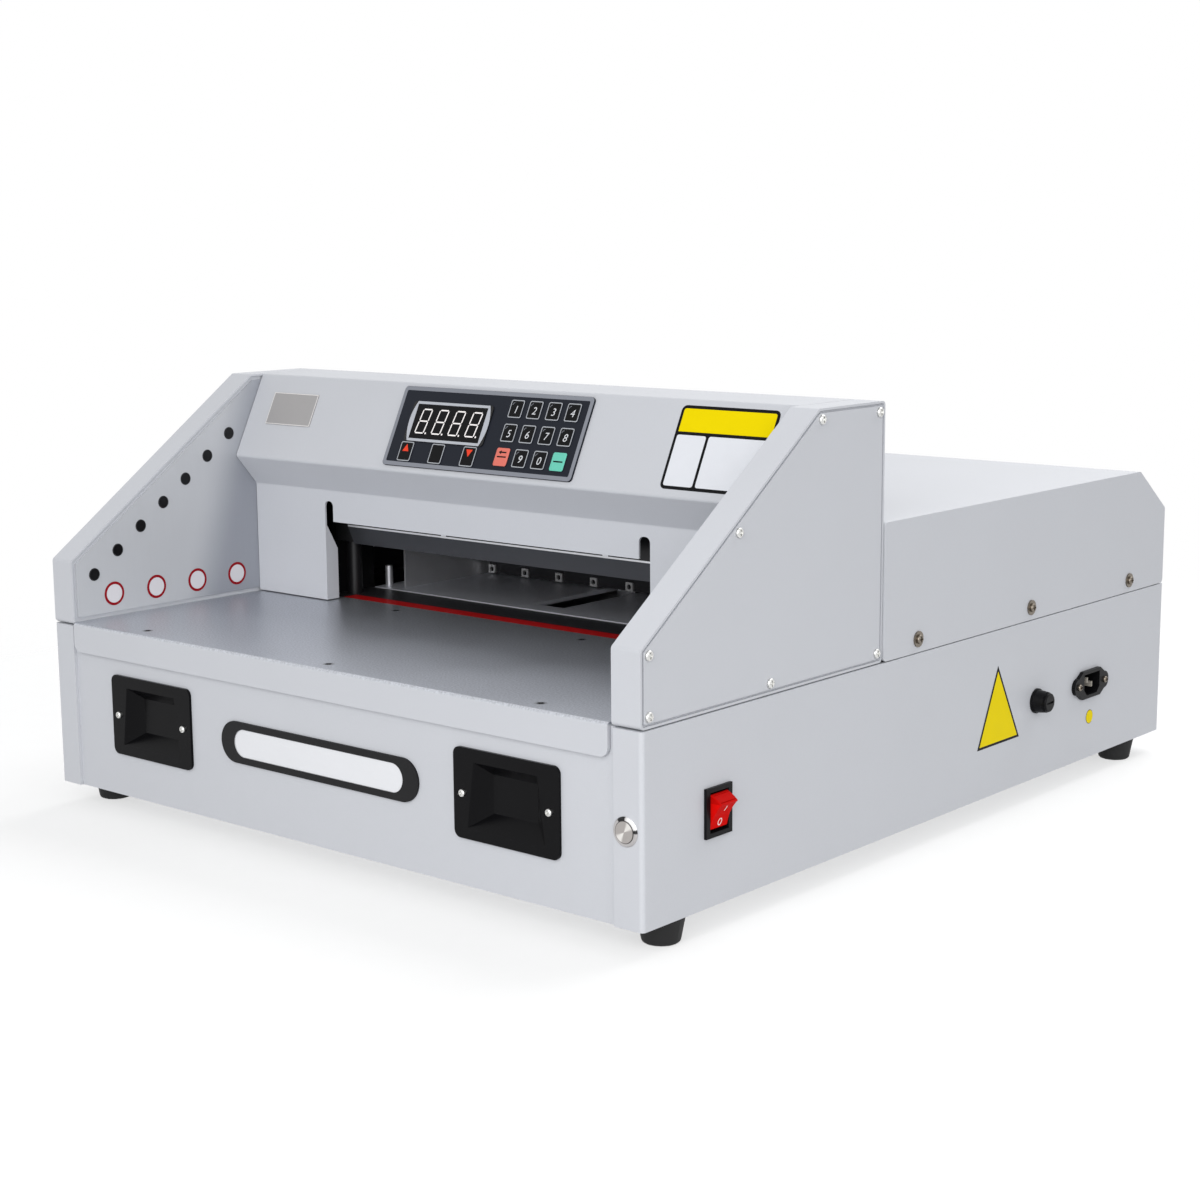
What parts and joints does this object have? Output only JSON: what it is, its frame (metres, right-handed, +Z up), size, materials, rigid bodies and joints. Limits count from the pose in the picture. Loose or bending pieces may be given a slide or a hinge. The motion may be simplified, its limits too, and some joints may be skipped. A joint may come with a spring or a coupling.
{
  "type": "electric paper cutter",
  "caption": "Desktop electric guillotine with front table, side cheeks, slanted control panel, knife and clamp over a cutting stick, motor-driven back gauge and rear cover.",
  "frame": {"origin": "middle of the footprint on the plane the feet stand on", "axes": "+X to the operator's right, +Y from the front table to the rear cover, +Z up"},
  "size_m": [0.5748, 0.659, 0.31],
  "materials": {
    "casing": "light grey powder coat",
    "table": "grey textured coat",
    "black_steel": "blackened steel",
    "steel": "machined steel",
    "zinc": "zinc plated",
    "brass": "turned",
    "black_plastic": "fine grain",
    "red_plastic": "smooth",
    "rubber": "moulded",
    "panel_film": "printed film",
    "window": "tinted",
    "lens": "dark lens",
    "badge": "smooth",
    "board": "circuit board",
    "motor": "satin black"
  },
  "bodies": {
    "machine_frame": {"base_left_panel": "casing", "base_right_panel": "casing", "base_front_panel": "casing", "base_rear_panel": "casing", "base_floor": "casing", "rubber_feet": "rubber", "front_table": "table", "table_screws": "zinc", "rear_table": "table", "machine_bed": "black_steel", "cutting_stick": "red_plastic", "side_frames": "black_steel", "guide_beam": "black_steel", "frame_bolts": "zinc", "drive_plate": "black_steel", "knife_motor": "motor", "clamp_bracket": "black_steel", "clamp_motor": "motor", "gauge_guide_rods": "steel", "rear_support": "black_steel", "gauge_motor": "motor", "gauge_belt": "rubber", "side_guides": "steel", "left_cheek": "casing", "right_cheek": "casing", "cheek_inner_panels": "casing", "side_covers": "casing", "light_lenses": "lens", "hood": "casing", "rear_cover": "casing", "case_screws": "zinc", "keypad_panel": "panel_film", "display_window": "window", "handle_cups": "black_plastic", "front_badge": "badge", "start_button_housing": "steel", "power_switch_housing": "black_plastic", "fuse_holder": "black_plastic", "power_inlet": "black_plastic", "control_board": "board", "power_supply": "motor"},
    "knife_unit": {"knife": "steel", "knife_carrier": "black_steel", "knife_bolts": "zinc", "knife_guide_blocks": "brass"},
    "pull_rod_body": {"pull_rod": "steel"},
    "crank": {"crank_gear": "steel"},
    "knife_pinion_body": {"knife_pinion": "steel"},
    "clamp_unit": {"clamp_beam": "steel", "clamp_guide_rods": "steel", "clamp_yoke": "black_steel"},
    "clamp_spindle_body": {"clamp_spindle": "steel"},
    "clamp_pinion_body": {"clamp_pinion": "steel"},
    "back_gauge": {"back_gauge_fence": "steel", "gauge_carriage": "steel"},
    "lead_screw_body": {"gauge_lead_screw": "steel"},
    "motor_pulley_body": {"motor_pulley": "steel"},
    "start_button_body": {"start_button": "steel"},
    "power_rocker_body": {"power_rocker": "red_plastic"},
    "fuse_cap_body": {"fuse_cap": "black_plastic"}
  },
  "joints": [
    {"name": "knife_slide", "type": "slide", "parent": "machine_frame", "child": "knife_unit", "axis": [-0.4226, 0, -0.9063], "range_m": [0, 0.04612]},
    {"name": "pull_rod_swing", "type": "hinge", "parent": "knife_unit", "child": "pull_rod_body", "pos_m": [0.2206, -0.12245, 0.26665], "axis": [0, -1, 0], "range_deg": [0, 6.9]},
    {"name": "crank_turn", "type": "hinge", "parent": "machine_frame", "child": "crank", "pos_m": [0.2206, -0.09995, 0.08575], "axis": [0, 1, 0], "range_deg": [0, 180]},
    {"name": "knife_pinion_turn", "type": "hinge", "parent": "machine_frame", "child": "knife_pinion_body", "pos_m": [0.1673, -0.09995, 0.067], "axis": [0, 1, 0], "range_deg": [-720, 0]},
    {"name": "clamp_slide", "type": "slide", "parent": "machine_frame", "child": "clamp_unit", "axis": [0, 0, -1], "range_m": [0, 0.042]},
    {"name": "clamp_spindle_turn", "type": "hinge", "parent": "machine_frame", "child": "clamp_spindle_body", "pos_m": [-0.0214, -0.11095, 0.029], "axis": [0, 0, 1], "range_deg": [0, 2522]},
    {"name": "clamp_pinion_turn", "type": "hinge", "parent": "machine_frame", "child": "clamp_pinion_body", "pos_m": [-0.0214, -0.1462, 0.029], "axis": [0, 0, 1], "range_deg": [-6302, 0]},
    {"name": "back_gauge_slide", "type": "slide", "parent": "machine_frame", "child": "back_gauge", "axis": [0, 1, 0], "range_m": [-0.09, 0.185]},
    {"name": "lead_screw_turn", "type": "hinge", "parent": "machine_frame", "child": "lead_screw_body", "pos_m": [-0.0314, 0.27205, 0.127], "axis": [0, 1, 0], "range_deg": [-6662, 3242]},
    {"name": "motor_pulley_turn", "type": "hinge", "parent": "machine_frame", "child": "motor_pulley_body", "pos_m": [-0.0314, 0.27205, 0.072], "axis": [0, 1, 0], "range_deg": [-6662, 3242]},
    {"name": "start_button_press", "type": "slide", "parent": "machine_frame", "child": "start_button_body", "axis": [0, 1, 0], "range_m": [0, 0.0015], "stiffness_N_per_m": 400, "springref_m": -0.001},
    {"name": "power_rocker_tilt", "type": "hinge", "parent": "machine_frame", "child": "power_rocker_body", "pos_m": [0.2736, -0.25735, 0.0762], "axis": [0, -1, 0], "range_deg": [0, 20]},
    {"name": "fuse_cap_turn", "type": "hinge", "parent": "machine_frame", "child": "fuse_cap_body", "pos_m": [0.2756, 0.12825, 0.0758], "axis": [-1, 0, 0], "range_deg": [0, 90]}
  ],
  "couplings": [
    {"joint": "pull_rod_swing", "follows": "knife_slide", "rad_per_m": 2.611},
    {"joint": "crank_turn", "follows": "knife_slide", "rad_per_m": 68.117},
    {"joint": "knife_pinion_turn", "follows": "knife_slide", "rad_per_m": -272.47},
    {"joint": "clamp_spindle_turn", "follows": "clamp_slide", "rad_per_m": 1047.2},
    {"joint": "clamp_pinion_turn", "follows": "clamp_slide", "rad_per_m": -2618},
    {"joint": "lead_screw_turn", "follows": "back_gauge_slide", "rad_per_m": -628.32},
    {"joint": "motor_pulley_turn", "follows": "back_gauge_slide", "rad_per_m": -628.32}
  ]
}
